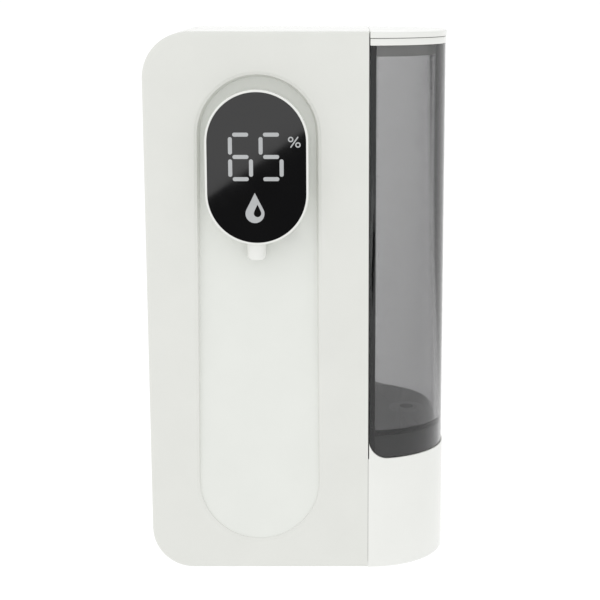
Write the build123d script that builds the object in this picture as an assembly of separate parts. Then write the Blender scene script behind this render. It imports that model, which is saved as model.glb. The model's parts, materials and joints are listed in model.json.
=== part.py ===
from build123d import *
from math import atan2, cos, pi, radians, sin, tan
import os

# Touch-free wall dispenser for liquid soap. Units are millimetres.
# Frame: the wall is the plane Y = 0, the front faces -Y, +Z is up, and the origin is the centre of the
# wall bracket's screw pattern. Depths grow towards -Y.

# ---- Driving dimensions -----------------------------------------------------------------------------
body_width = 107.5
body_height = 195.0
body_depth = 65.0
body_above_bracket = 85.0       # from the bracket's centre up to the top
body_left_of_bracket = 53.75
wall_gap = 1.0                  # between the wall and the body's back
wall = 2.2                      # moulded shell thickness
side_radius = 28.5              # plan radius of the tank's side
top_corner = 16.0               # seen from the front, left side
bottom_corner = 15.0
column_width = 79.0             # the part of the width that the front panel covers
seam = 0.4                      # visible gap between the column and the tank
fit = 0.1                       # clearance between pieces that locate each other
base_edge = 0.8                 # rounding of the underside's rim

case_screw_radius = 1.45
case_head_radius = 2.8
case_boss_radius = 3.4
case_boss_depth = 14.0          # from the back's inner face
case_screw_inset = 5.8          # from the body's outline to the screws
flange_width = 7.0              # inner rim that the panel is screwed to
flange_depth = 2.0
panel_screw_radius = 1.1
panel_post_radius = 3.0
panel_screw_inset = 6.0
panel_depth = 8.0
panel_wall = 2.4
panel_edge = 1.4
seal_thickness = 0.8
recess_low = 11.2               # its lower end above the underside
recess_over_pod = 4.95          # its upper end above the pod
recess_beside_lens = 4.2
recess_spread = 0.65            # the lower end's radius is this much larger
recess_low_x, recess_high_x = -14.3, -13.7
recess_deep = 4.0               # depth at the upper end
recess_shallow = 0.6            # depth at the lower end
recess_draft = 15.0             # degrees, of its walls
rim_width, rim_depth = 0.9, 0.35    # bevel round the recess

pod_centre_x = -13.75
pod_drop = 46.3                 # its centre below the top
lens_width = 34.3
lens_height = 52.2
lens_thickness = 1.6
bezel_rim = 0.85
pod_undercut = 0.7              # the pod's body stands back from its bezel
bezel_depth = 2.6
pod_wall = 1.6
pod_proud = 7.0                 # how far the lens stands in front of the panel
inlay_depth = 0.4
neck_side, neck_end = 7.15, 1.1         # from the lens's outline to the opening behind the pod
pod_screw_spacing = 28.0
pod_screw_radius = 0.9
module_width, module_height, module_depth = 27.0, 30.0, 3.2
display_board_width, display_board_height = 26.0, 34.0

digit_width = 8.6
digit_height = 16.8
digit_stroke = 1.4
digit_gap = 0.82                # from the end of a bar to its neighbour's centre line
digit_pitch = 10.6

nozzle_x = -14.3
nozzle_radius = 3.4
nozzle_drop = 6.0               # below the pod's underside
nozzle_bore = 1.6
nozzle_ahead = 0.8              # of its axis, in front of the panel
valve_radius = 2.5
valve_length = 5.0
nozzle_flange = 1.2             # how far the flange stands out of the spout
barb_bore = 1.2
nozzle_barb_length = 16.0
sensor_offset_x = 9.0           # from the spout's axis
sensor_lift = 5.6               # its middle above the pod's lowest point
sensor_half, sensor_length, sensor_lean = 2.2, 5.0, 28.0

tank_floor_height = 52.0        # inner floor above the underside
window_bottom = 41.7
window_corner = 7.0
tank_wall = 2.0
tank_inset = 0.4
collar_height = 2.4
lid_height = 2.1
lid_gap = 0.2                   # between the collar and the lid
mouth_margin = 4.2
lid_rim_wall = 1.6              # of the plug rim under the lid
lid_seal_depth = 1.0
spigot_radius, spigot_bore = 4.2, 2.6   # threaded spigot under the tank's floor
spigot_length = 5.0
fitting_radius = 4.0
fitting_bore = 1.3
fitting_flange = 1.1
outlet_seal_thickness = 0.8
strainer_thickness = 1.2
nut_radius = 6.2
nut_lip = 0.9                   # inner flange that holds the fitting up
nut_room = 0.8                  # free space round the nut in the pad

bracket_width = 40.0
bracket_height = 96.0
bracket_thickness = 2.5
screw_spacing_x = 26.0
screw_spacing_z = 76.0
wall_screw_radius = 2.25
hook_spacing = 44.0
hook_stem_radius = 3.0
hook_head_radius = 5.4
hook_head_thickness = 1.8
lift_travel = 14.0
stud_gap = 0.3                  # between a stud's head and the keyhole's wall
pocket_gap = 0.6                # round the bracket
pocket_wall = 1.8

motor_x, motor_y = 7.0, -26.0
motor_radius = 12.2
motor_length = 30.0
motor_shaft_radius = 1.0
pump_top_height = 26.0          # above the underside
pump_height = 12.0
pump_half_x = 11.0
pump_cover_thickness = 3.0
gear_teeth = 12
gear_module = 1.0
gear_thickness = 5.8
gear_clearance = 0.12
pressure_angle = 28.0
gasket_thickness = 0.8
seal_depth = 3.0
pin_radius = 1.25
pump_screw_radius = 1.1
bush_radius, bush_length = 2.5, 2.5
terminal_spacing = 16.0
hose_radius = 3.0
hose_bore = 2.05
barb_radius = 2.0
barb_length = 7.0

cell_radius = 9.2
cell_length = 65.0
cell_x, cell_y = 10.0, -24.0
cell_low_height = 75.0          # above the underside
cell_cap_radius, cell_cap_height = 3.0, 0.8
holder_wall = 1.6
board_thickness = 1.6
main_board_x, main_board_y = -32.0, -12.0
main_board_centre = 105.0       # above the underside
main_board_width, main_board_height = 24.0, 80.0
main_screw_x, main_screw_z = 9.0, 34.0  # half the spacing of its screws
connector_height = 4.5
charge_board_height = 9.0       # above the underside

button_x, service_y = -14.0, -28.0
button_radius = 4.5
button_travel = 0.8
port_x = -29.5
socket_width, socket_depth = 8.9, 3.2
flap_width, flap_depth, flap_thickness = 15.0, 7.0, 1.2
flap_offset = -0.8              # from the socket's middle to the flap's
flap_gap = 0.3
flap_plug = 0.3

# ---- Levels and edges worked out from them ----------------------------------------------------------
left = -body_left_of_bracket
right = left + body_width
top = body_above_bracket
bottom = top - body_height
back = -wall_gap
front = back - body_depth
column_right = left + column_width
panel_back = front + panel_depth
shell_front = panel_back + seal_thickness
cover_front = back - wall                        # the rear cover's inner face
divider_left = column_right - wall
bay_left = column_right + seam
base_left = column_right + fit                   # the base stands close to the panel
tank_bottom = bottom + window_bottom
tank_floor = bottom + tank_floor_height
lid_bottom = top - lid_height
collar_top = lid_bottom - lid_gap
collar_bottom = collar_top - collar_height
tank_top = collar_bottom
pocket_floor = -(bracket_thickness + 0.5)
pocket_front = pocket_floor - wall
head_back = pocket_front - stud_gap
pod_z = top - pod_drop
pod_front = front - pod_proud
bezel_half_width = lens_width / 2 + bezel_rim
bezel_half_height = lens_height / 2 + bezel_rim
recess_bottom = bottom + recess_low
recess_top = pod_z + bezel_half_height + recess_over_pod
recess_high_radius = lens_width / 2 + recess_beside_lens
recess_low_radius = recess_high_radius + recess_spread
recess_slope = (recess_deep - recess_shallow) / (recess_top - recess_bottom)
nozzle_y = front - nozzle_ahead
nozzle_tip = pod_z - bezel_half_height - nozzle_drop
elbow_z = pod_z - bezel_half_height + 6.0
barb_end = nozzle_y + nozzle_barb_length
module_front = pod_front + lens_thickness + fit
module_back = module_front + module_depth
neck_width, neck_height = lens_width - 2 * neck_side, lens_height - 2 * neck_end
pump_top = bottom + pump_top_height
pump_bottom = pump_top - pump_height
gear_radius = gear_teeth * gear_module / 2
gear_top = pump_bottom + gear_thickness + gear_clearance
port_y = motor_y - gear_radius
port_z = pump_bottom + gear_thickness / 2
outlet_x, outlet_y = bay_left + 15.0, port_y
spigot_low = tank_floor - tank_wall - spigot_length
flange_low = spigot_low - outlet_seal_thickness - fitting_flange
nut_low = flange_low - nut_lip
board_low = bottom + charge_board_height
main_board_z = bottom + main_board_centre
cell_low = bottom + cell_low_height
holder_back = cell_y + cell_radius + holder_wall
flap_left = port_x + flap_offset - flap_width / 2 + flap_thickness / 2    # axis of the flap's bead


# ---- Helpers ----------------------------------------------------------------------------------------
def block(x0, x1, y0, y1, z0, z1):
    """A box between two corners."""
    size = Box(abs(x1 - x0), abs(y1 - y0), abs(z1 - z0))
    return Pos((x0 + x1) / 2, (y0 + y1) / 2, (z0 + z1) / 2) * size


def rod_x(y, z, radius, x0, x1):
    """A cylinder along X."""
    return Pos((x0 + x1) / 2, y, z) * Rot(0, 90, 0) * Cylinder(radius, abs(x1 - x0))


def rod_y(x, z, radius, y0, y1):
    """A cylinder along Y."""
    return Pos(x, (y0 + y1) / 2, z) * Rot(90, 0, 0) * Cylinder(radius, abs(y1 - y0))


def rod_z(x, y, radius, z0, z1):
    """A cylinder along Z."""
    return Pos(x, y, (z0 + z1) / 2) * Cylinder(radius, abs(z1 - z0))


def plate(x0, x1, y0, y1, corners=()):
    """A flat rectangle; corners lists each rounded corner as (x, y, radius)."""
    face = Pos((x0 + x1) / 2, (y0 + y1) / 2) * Rectangle(x1 - x0, y1 - y0)
    for x, y, radius in corners:
        corner = face.vertices().sort_by_distance(Vector(x, y, 0))[0]
        face = fillet(corner, radius)
    return face


def upright(outline, y_back, y_front):
    """An outline drawn as seen from the front, made solid between two depths."""
    return extrude(Plane.XZ.offset(-y_back) * outline, y_back - y_front)


def level(outline, z0, z1):
    """An outline drawn in plan, made solid between two heights."""
    return extrude(Pos(0, 0, z0) * outline, z1 - z0)


def stadium(width, height, x=0.0, z=0.0):
    """An upright outline with half-round ends."""
    return Pos(x, z) * Rot(0, 0, 90) * SlotOverall(height, width)


def column_outline(inset, x1=column_right):
    """The front outline of the left part: rounded left corners, square right ones."""
    x0, z0, z1 = left + inset, bottom + inset, top - inset
    corners = [(x0, z0, bottom_corner - inset), (x0, z1, top_corner - inset)]
    return plate(x0, x1 - inset, z0, z1, corners)


def round_plan(inset, x0):
    """The plan of the tank's side: flat at x0 and rounded on the right."""
    x1, y0, y1 = right - inset, front + inset, back - inset
    radius = side_radius - inset
    whole = plate(left, x1, y0, y1, [(x1, y0, radius), (x1, y1, radius)])
    return whole & plate(x0, x1 + 1, y0 - 1, y1 + 1)


def ring_z(x, y, outer, inner, z0, z1):
    """A round collar about a vertical axis."""
    return rod_z(x, y, outer, z0, z1) - rod_z(x, y, inner, z0 - 1, z1 + 1)


def hose(points, radii):
    """A round hose of straight runs and tangent bends."""
    path = FilletPolyline(*points, radius=radii)
    start = Plane(origin=path @ 0, z_dir=path % 0)
    skin = sweep(start * Circle(hose_radius), path)
    return skin - sweep(start * Circle(hose_bore), path)


def lead(points, radii, radius):
    """A wire of straight runs and tangent bends."""
    path = FilletPolyline(*points, radius=radii)
    return sweep(Plane(origin=path @ 0, z_dir=path % 0) * Circle(radius), path)


def floor_wedge(sink, reach=12.0):
    """All that lies in front of the recess's sloping floor, with the floor moved back by sink."""
    z0, z1 = recess_bottom - reach, recess_top + reach
    y0 = front + recess_shallow - recess_slope * reach + sink
    y1 = front + recess_deep + recess_slope * reach + sink
    ahead = front - 30
    side = Polyline((ahead, z0), (y0, z0), (y1, z1), (ahead, z1), close=True)
    return extrude(Plane.YZ.offset(left - 10) * make_face(side), body_width + 20)


# ---- Wall bracket and rear cover --------------------------------------------------------------------
def wall_bracket():
    """Plate screwed to the wall, with two headed studs that carry the dispenser."""
    half_w, half_h = bracket_width / 2, bracket_height / 2
    corners = [(x, z, 4.0) for x in (-half_w, half_w) for z in (-half_h, half_h)]
    shape = upright(plate(-half_w, half_w, -half_h, half_h, corners), 0, -bracket_thickness)
    for z in hook_levels():
        shape += rod_y(0, z, hook_stem_radius, -bracket_thickness, head_back - hook_head_thickness)
        shape += rod_y(0, z, hook_head_radius, head_back, head_back - hook_head_thickness)
    for x, z in screw_places():
        shape -= rod_y(x, z, wall_screw_radius, 1, -bracket_thickness - 1)
    for z in (-14.0, 0.0, 14.0):
        shape -= upright(Pos(0, z) * SlotOverall(18, 5), 1, -bracket_thickness - 1)
    return shape


def hook_levels():
    """Heights of the bracket's studs."""
    return (-hook_spacing / 2, hook_spacing / 2)


def screw_places():
    """Wall screw positions."""
    return [(sx * screw_spacing_x / 2, sz * screw_spacing_z / 2) for sx in (-1, 1) for sz in (-1, 1)]


def case_screw_places():
    """Where screws hold the rear cover to the shell."""
    x0, x1 = left + case_screw_inset, column_right - case_screw_inset
    z0, z1 = bottom + case_screw_inset, top - case_screw_inset
    return [(x0 + 6, z0 + 2), (x0 + 6, z1 - 2), (x1, z0), (x1, z1), (x0, (z0 + z1) / 2)]


def keyholes(clearance):
    """Slots that pass the stud heads low down and grip the stems higher up."""
    shape = None
    half = hook_stem_radius + clearance
    for z in hook_levels():
        low = z - lift_travel + 1.5
        head = rod_y(0, low, hook_head_radius + 0.6, pocket_floor + 1, pocket_front - 1)
        slot = block(-half, half, pocket_floor + 1, pocket_front - 1, low, z)
        hole = head + slot + rod_y(0, z, half, pocket_floor + 1, pocket_front - 1)
        shape = hole if shape is None else shape + hole
    return shape


def rear_cover():
    """Flat back with a pocket that takes the bracket and two keyholes."""
    shape = upright(column_outline(0), back, cover_front)
    half_w = bracket_width / 2 + pocket_gap
    low = -bracket_height / 2 - lift_travel - 2.0
    high = bracket_height / 2 + pocket_gap
    grow = pocket_wall
    shape += block(-half_w - grow, half_w + grow, cover_front, pocket_front, low - grow, high + grow)
    shape -= block(-half_w, half_w, 1, pocket_floor, low, high)
    shape -= keyholes(stud_gap)
    for x, z in case_screw_places():
        shape += rod_y(x, z, case_boss_radius + 0.2, back, cover_front - 1.2)
        shape -= rod_y(x, z, case_screw_radius + 0.25, 1, cover_front - 5)
        shape -= rod_y(x, z, case_head_radius + 0.2, 1, back - 1.8)
    for x, z in board_screw_places():
        shape += rod_y(x, z, 2.2, cover_front, main_board_y)
        shape -= rod_y(x, z, 0.9, cover_front - 1, main_board_y - 1)
    for z in (cell_low - 2.0, cell_low + cell_length + 2.0):
        shape += block(cell_x - 4, cell_x + 4, cover_front, holder_back, z - 1, z + 1)
    return shape


def case_screws():
    """Flat-headed screws, driven from the back."""
    screws = []
    head = back - 0.2
    for x, z in case_screw_places():
        screw = rod_y(x, z, case_head_radius, head, back - 1.8)
        screw += rod_y(x, z, case_screw_radius, back - 1.0, cover_front - 10)
        screws.append(screw - cross_slot_y(x, z, head))
    return Compound(screws)


def cross_slot_y(x, z, y):
    """Cross recess in a screw head that faces +Y."""
    half, thin, deep = 1.6, 0.35, 0.9
    level_arm = block(x - half, x + half, y + 1, y - deep, z - thin, z + thin)
    return level_arm + block(x - thin, x + thin, y + 1, y - deep, z - half, z + half)


# ---- Main shell -------------------------------------------------------------------------------------
def base_height():
    """Top of the white base under the tank."""
    return tank_bottom - fit


def tank_bay():
    """The space the tank stands in, with a rounded lower left corner."""
    x0, z0 = bay_left - fit, base_height()
    outline = plate(x0, right + 5, z0, top + 5, [(x0, z0, window_corner + fit)])
    return upright(outline, 5, front - 5)


def full_body():
    """The outer volume of the whole body."""
    outline = plate(left, right, bottom, top, [(left, bottom, bottom_corner), (left, top, top_corner)])
    return level(round_plan(0, left), bottom, top) & upright(outline, back, front)


def main_shell():
    """White moulding: the column's side walls, the divider and the base under the tank."""
    shape = full_body() - tank_bay()
    base_rim = shape.edges().filter_by_position(Axis.Z, bottom, bottom).filter_by(GeomType.CIRCLE)
    shape = fillet(base_rim, base_edge)
    shape -= block(left - 5, column_right, front - 5, shell_front, bottom - 5, top + 5)
    shape -= block(left - 5, column_right, cover_front, 5, bottom - 5, top + 5)
    for y0, y1 in ((front - 5, shell_front), (cover_front, 5)):
        shape -= block(column_right, base_left, y0, y1, bottom - 5, base_height())
        shape -= block(column_right, bay_left, y0, y1, base_height(), top + 5)
    shape -= upright(column_outline(wall), 5, front - 5)
    base_plan = round_plan(wall, bay_left + wall)
    deck = base_height() - wall
    shape -= level(base_plan, bottom + wall, deck)
    shape -= block(divider_left - 1, bay_left + wall + 1, cover_front - wall, shell_front + wall,
                   bottom + wall, deck)
    shape += shell_flange() + screw_bosses() + pump_ribs() + charge_posts()
    shape -= rod_z(outlet_x, outlet_y, hose_radius + 1.5, deck - 1, base_height() + 1)
    shape -= underside_openings()
    for x, z in case_screw_places():
        shape -= boss_pilot(x, z)
    for x, z in panel_screw_places():
        shape -= rod_y(x, z, panel_screw_radius + 0.5, shell_front - 1, shell_front + flange_depth + 2)
    return shape


def shell_flange():
    """Inner rim at the shell's front, which the panel's posts are screwed to."""
    ring = column_outline(wall - 0.2) - column_outline(wall + flange_width)
    return upright(ring, shell_front + flange_depth, shell_front)


def panel_screw_places():
    """Where screws hold the front panel to the shell's flange."""
    x0, x1 = left + panel_screw_inset, column_right - panel_screw_inset
    z0, z1 = bottom + panel_screw_inset, top - panel_screw_inset
    return [(x0 + 3, z0 + 3), (x0 + 3, z1 - 3), (x1, z0), (x1, z1), (x0, (z0 + z1) / 2),
            (x1, (z0 + z1) / 2)]


def boss_pilot(x, z):
    """Pilot hole of a rear cover screw."""
    return rod_y(x, z, case_screw_radius + 0.03, cover_front + 1, cover_front - case_boss_depth + 1)


def screw_bosses():
    """Bosses for the rear cover's screws, tied to the nearest wall."""
    shape = None
    high, low = cover_front - 1.3, cover_front - case_boss_depth
    for x, z in case_screw_places():
        boss = rod_y(x, z, case_boss_radius, high, low)
        side = left + 1 if x < 0 else column_right - 1
        rib = block(min(x, side), max(x, side), high, low, z - 1, z + 1)
        shape = boss + rib if shape is None else shape + boss + rib
    return shape & upright(column_outline(0.5), cover_front, front)


def pump_ribs():
    """Two walls on the floor that the pump stands on."""
    shape = None
    low = bottom + 1
    high = pump_bottom - gasket_thickness - pump_cover_thickness
    for x in (motor_x - 5, motor_x + 5):
        rib = block(x - 1, x + 1, motor_y - 18, motor_y + 6, low, high)
        shape = rib if shape is None else shape + rib
    return shape


def underside_openings():
    """Openings for the button and the charging socket, and the seat of the socket's cover."""
    shape = rod_z(button_x, service_y, button_radius + 0.3, bottom - 1, bottom + wall + 1)
    slot = Pos(port_x, service_y) * SlotOverall(socket_width + 0.7, socket_depth + 0.7)
    shape += level(slot, bottom - 1, bottom + wall + 1)
    bead = flap_thickness / 2
    x0, x1 = flap_left - bead - flap_gap, port_x + flap_offset + flap_width / 2 + flap_gap
    half = flap_depth / 2 + flap_gap
    corners = [(x1, service_y - half, 1.5), (x1, service_y + half, 1.5)]
    seat = plate(x0, x1, service_y - half, service_y + half, corners)
    return shape + level(seat, bottom - 1, bottom + flap_thickness + 0.1)


# ---- Front panel ------------------------------------------------------------------------------------
def front_panel():
    """Matt panel with a long scooped recess that slopes in towards the nozzle."""
    shape = upright(column_outline(0), panel_back, front)
    outer_edges = shape.faces().sort_by(Axis.Y)[0].edges().sort_by(Axis.X)[:-1]    # all but the tank's side
    shape = fillet(outer_edges, panel_edge)
    shape -= upright(column_outline(panel_wall), panel_back + 1, front + panel_wall)
    behind = block(left, right, front + 1, 0, bottom, top)
    shape += recess_prism(panel_wall) & floor_wedge(panel_wall) & behind
    shape -= recess_prism(0) & floor_wedge(0)
    shape -= recess_rim()
    hole = stadium(neck_width, neck_height, pod_centre_x, pod_z)
    shape -= upright(hole, front + 30, front - 5)
    for x, z in panel_screw_places():
        shape += rod_y(x, z, panel_post_radius, front + 1, shell_front)
        shape -= rod_y(x, z, panel_screw_radius, front + 3.5, shell_front + 1)
    for x, z in pod_screw_places():
        shape -= rod_y(x, z, pod_screw_radius + 0.3, front - 1, front + 20)
    return shape


def recess_outline(grow):
    """Two round ends of slightly different size, joined by straight sides."""
    low_z = recess_bottom + recess_low_radius
    high_z = recess_top - recess_high_radius
    rise, shift = high_z - low_z, recess_high_x - recess_low_x
    run = (rise * rise + shift * shift) ** 0.5
    lean = atan2(-shift, rise)                      # the middle line's angle from upright
    open_angle = atan2(recess_low_radius - recess_high_radius, run)
    low_end = (recess_low_x, low_z, recess_low_radius + grow)
    high_end = (recess_high_x, high_z, recess_high_radius + grow)
    ends = []
    for angle in (lean + open_angle, pi + lean - open_angle):
        for x, z, radius in (low_end, high_end):
            ends.append((x + radius * cos(angle), z + radius * sin(angle)))
    low_right, high_right, low_left, high_left = ends
    crown = (recess_high_x, recess_top + grow)
    keel = (recess_low_x, recess_bottom - grow)
    sides = [Line(low_right, high_right), ThreePointArc(high_right, crown, high_left),
             Line(high_left, low_left), ThreePointArc(low_left, keel, low_right)]
    return make_face(Wire(sides))


def recess_prism(grow):
    """The recess's outline swept through the panel, narrowing inwards."""
    inwards = extrude(Plane.XZ.offset(-front) * recess_outline(grow), -16, taper=recess_draft)
    return inwards + upright(recess_outline(grow), front, front - 3)


def recess_rim():
    """Bevel round the recess's edge."""
    slant = atan2(rim_width, rim_depth) * 180 / pi
    return extrude(Plane.XZ.offset(-front) * recess_outline(rim_width), -rim_depth, taper=slant)


def panel_seal():
    """Gasket between the front panel's rim and the shell."""
    ring = column_outline(0.7) - column_outline(wall - 0.2)
    return upright(ring, shell_front, panel_back)


def panel_screws():
    """Screws through the shell's flange into the panel's posts."""
    screws = []
    head = shell_front + flange_depth
    for x, z in panel_screw_places():
        screws.append(rod_y(x, z, 2.4, head + 1.4, head) + rod_y(x, z, panel_screw_radius, head, front + 4.5))
    return Compound(screws)


# ---- Display pod ------------------------------------------------------------------------------------
def pod_outline(grow):
    """Outline of the pod's bezel, grown outwards."""
    return stadium(2 * (bezel_half_width + grow), 2 * (bezel_half_height + grow), pod_centre_x, pod_z)


def pod_screw_places():
    """Screws that hold the pod from inside, on both sides of its neck."""
    half = pod_screw_spacing / 2
    return [(pod_centre_x - half, pod_z), (pod_centre_x + half, pod_z)]


def pod_shell():
    """White pod that carries the display and, under it, the nozzle."""
    step = pod_front + bezel_depth
    deep = front + recess_deep + 4
    rim = upright(pod_outline(0), step, pod_front)
    rim = fillet(rim.faces().sort_by(Axis.Y)[0].edges(), 0.5)
    body = upright(pod_outline(-pod_undercut), deep, step)
    seat = pod_front + lens_thickness
    shape = rim + body
    lens_room = stadium(lens_width + 2 * fit, lens_height + 2 * fit, pod_centre_x, pod_z)
    shape -= upright(lens_room, seat, pod_front - 1)
    shape -= upright(pod_outline(-pod_wall - pod_undercut), deep + 1, seat - 1)
    for x, z in pod_screw_places():
        shape += rod_y(x, z, 2.6, deep, module_back + board_thickness + 0.4)
    shape &= floor_wedge(0)
    for x, z in pod_screw_places():
        shape -= rod_y(x, z, pod_screw_radius + 0.05, deep + 1, module_back + board_thickness + 1.4)
    pod_low = pod_z - bezel_half_height
    shape -= rod_z(nozzle_x, nozzle_y, nozzle_radius + fit, pod_low - 2, pod_low + 5)
    return shape - sensor_body(fit)


def pod_screws():
    """Screws from inside the panel into the pod."""
    screws = []
    for x, z in pod_screw_places():
        floor = front + recess_shallow + (z - recess_bottom) * recess_slope
        head = floor + panel_wall + 0.6
        tip = module_back + board_thickness + 1.6
        screws.append(rod_y(x, z, 2.0, head + 1.2, head) + rod_y(x, z, pod_screw_radius, head, tip))
    return Compound(screws)


def display_lens():
    """Black glass with shallow light windows for the digits and signs."""
    outline = stadium(lens_width, lens_height, pod_centre_x, pod_z)
    shape = upright(outline, pod_front + lens_thickness, pod_front)
    return shape - display_digits() - display_signs()


def bar(x, z, length, angle):
    """One light bar of a digit."""
    outline = Pos(x, z) * Rot(0, 0, angle) * SlotOverall(length, digit_stroke)
    return upright(outline, pod_front + inlay_depth, pod_front)


def digit(centre_x, centre_z, bars):
    """A seven-bar digit; bars names the lit ones."""
    side = digit_width / 2 - digit_stroke / 2
    rise = digit_height / 2 - digit_stroke / 2
    across = 2 * (side - digit_gap)
    along = rise - 2 * digit_gap
    places = {"a": (0, rise, across, 0), "g": (0, 0, across, 0), "d": (0, -rise, across, 0),
              "f": (-side, rise / 2, along, 90), "b": (side, rise / 2, along, 90),
              "e": (-side, -rise / 2, along, 90), "c": (side, -rise / 2, along, 90)}
    shapes = []
    for name in bars:
        dx, dz, length, angle = places[name]
        shapes.append(bar(centre_x + dx, centre_z + dz, length, angle))
    return shapes


def display_digits():
    """Two digits side by side, in the upper half of the lens."""
    z = pod_z + 3.9
    x = pod_centre_x - 5.5
    return Compound(digit(x, z, "afgecd") + digit(x + digit_pitch, z, "afgcd"))


def display_signs():
    """A per-cent sign beside the digits and a drop below them."""
    x, z = pod_centre_x + 13.15, pod_z + 9.0
    y = pod_front + inlay_depth
    ring = Circle(0.95) - Circle(0.5)
    rings = [upright(Pos(x + side * 1.25, z - side * 0.95) * ring, y, pod_front) for side in (-1, 1)]
    stroke = Pos(x, z) * Rot(0, 0, 55) * SlotOverall(4.6, 0.45)
    hollow = drop_face(3.3, 10.6) - Pos(0.9, -1.0) * drop_face(1.3, 4.4)
    drop = Pos(pod_centre_x - 0.7, pod_z - 13.9) * hollow
    return Compound(rings + [upright(stroke, y, pod_front), upright(drop, y, pod_front)])


def drop_face(radius, height):
    """A drop: a round lower part and two sides that meet in a point."""
    low = -height / 2 + radius
    tip = height / 2
    lean = radians(24)
    x, z = radius * cos(lean), low + radius * sin(lean)
    lower = ThreePointArc((x, z), (0, low - radius), (-x, z))
    left_side = ThreePointArc((-x, z), (-radius * 0.42, (z + tip) / 2 + 0.2), (0, tip))
    right_side = ThreePointArc((0, tip), (radius * 0.42, (z + tip) / 2 + 0.2), (x, z))
    return make_face(Wire([lower, left_side, right_side]))


def display_module():
    """Block of light wells behind the lens."""
    outline = Pos(pod_centre_x, pod_z) * RectangleRounded(module_width, module_height, 3)
    return upright(outline, module_back, module_front)


def display_board():
    """Circuit board behind the light wells."""
    outline = stadium(display_board_width, display_board_height, pod_centre_x, pod_z)
    return upright(outline, module_back + board_thickness, module_back)


# ---- Nozzle and sensor ------------------------------------------------------------------------------
def nozzle():
    """Spout under the pod, with a barb at the back for the hose."""
    low = nozzle_tip
    shape = rod_z(nozzle_x, nozzle_y, nozzle_radius, low + 1.2, elbow_z + barb_radius + 0.8)
    tip = Pos(nozzle_x, nozzle_y, low + 0.6) * Cone(nozzle_radius - 0.7, nozzle_radius, 1.2)
    shape += tip + rod_y(nozzle_x, elbow_z, barb_radius, nozzle_y, barb_end)
    shape += rod_z(nozzle_x, nozzle_y, nozzle_radius + nozzle_flange, elbow_z - 2.9, elbow_z - 1.9)
    shape -= rod_z(nozzle_x, nozzle_y, nozzle_bore, low - 1, elbow_z)
    shape -= rod_y(nozzle_x, elbow_z, barb_bore, nozzle_y, barb_end + 1)
    return shape - rod_z(nozzle_x, nozzle_y, valve_radius, low - 1, low + valve_length)


def nozzle_valve():
    """Duckbill valve that stops drips."""
    low = nozzle_tip + 0.3
    shape = rod_z(nozzle_x, nozzle_y, valve_radius, low, nozzle_tip + valve_length)
    shape -= rod_z(nozzle_x, nozzle_y, 1.5, low + 1.0, nozzle_tip + valve_length + 1)
    return shape - block(nozzle_x - 1.2, nozzle_x + 1.2, nozzle_y - 0.15, nozzle_y + 0.15, low - 1, low + 2)


def sensor_body(grow):
    """Volume of the infrared window beside the spout, low on the pod."""
    x = nozzle_x + sensor_offset_x
    z = pod_z - bezel_half_height + sensor_lift
    across, along = 2 * (sensor_half + grow), sensor_length + 2 * grow
    return Pos(x, nozzle_y, z) * Rot(0, -sensor_lean, 0) * Box(across, across, along)


def sensor_window():
    """Dark window for the hand sensor."""
    return sensor_body(0)


# ---- Tank, collar and lid ---------------------------------------------------------------------------
def tank():
    """Smoke-clear tank with a raised floor, a skirt and an open mouth."""
    corner = [(bay_left, tank_bottom, window_corner)]
    outline = plate(bay_left, right + 5, tank_bottom, tank_top, corner)
    shape = level(round_plan(tank_inset, bay_left), tank_bottom, tank_top) & upright(outline, 0, front - 1)
    inner = round_plan(tank_inset + tank_wall, bay_left + tank_wall)
    shape -= level(inner, tank_floor, tank_top + 1)
    shape -= level(inner, tank_bottom - 1, tank_floor - tank_wall)
    shape += rod_z(outlet_x, outlet_y, spigot_radius, spigot_low, tank_floor - 1)
    return shape - rod_z(outlet_x, outlet_y, spigot_bore, spigot_low - 1, tank_floor + 1)


def mouth_plan(inset):
    """Plan of the filling mouth."""
    return round_plan(tank_inset + inset, bay_left + inset)


def tank_collar():
    """White ring that caps the tank's walls, with a skirt inside them."""
    shape = level(round_plan(tank_inset - 0.2, bay_left), collar_bottom, collar_top)
    skirt = round_plan(tank_inset + tank_wall + fit, bay_left + tank_wall + fit)
    shape += level(skirt, collar_bottom - 4.0, collar_top)
    return shape - level(mouth_plan(mouth_margin), collar_bottom - 6, collar_top + 1)


def tank_lid():
    """Half-round lid that lifts off, with a plug rim that carries the seal."""
    shape = level(round_plan(0, bay_left), lid_bottom, top)
    shape = fillet(shape.faces().sort_by(Axis.Z)[-1].edges(), 0.6)
    outside = mouth_margin + lid_seal_depth
    rim = mouth_plan(outside) - mouth_plan(outside + lid_rim_wall)
    shape += level(rim, collar_bottom - 1.5, lid_bottom + 0.5)
    return shape - lid_groove(lid_seal_depth)


def lid_groove(depth):
    """Room for the seal round the plug rim."""
    ring = mouth_plan(mouth_margin + 0.3) - mouth_plan(mouth_margin + 0.9 + depth)
    return level(ring, collar_bottom - 0.6, collar_bottom + 0.8)


def lid_seal():
    """Soft ring round the lid's plug rim."""
    return lid_groove(lid_seal_depth)


def tank_pad():
    """Black pad under the tank's floor, inside its skirt, with room for the nut."""
    inset = tank_inset + tank_wall + fit
    edge = bay_left + tank_wall + fit
    shape = level(round_plan(inset, edge), tank_bottom, tank_floor - tank_wall)
    corner = [(bay_left, tank_bottom, window_corner)]
    shape &= upright(plate(bay_left, right + 5, tank_bottom, tank_top, corner), 0, front - 1)
    return shape - rod_z(outlet_x, outlet_y, nut_radius + nut_room, tank_bottom - 1, tank_floor)


def outlet_seal():
    """Washer between the tank's spigot and the outlet fitting."""
    low = spigot_low - outlet_seal_thickness
    return ring_z(outlet_x, outlet_y, fitting_radius, spigot_bore - 0.4, low, spigot_low)


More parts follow.
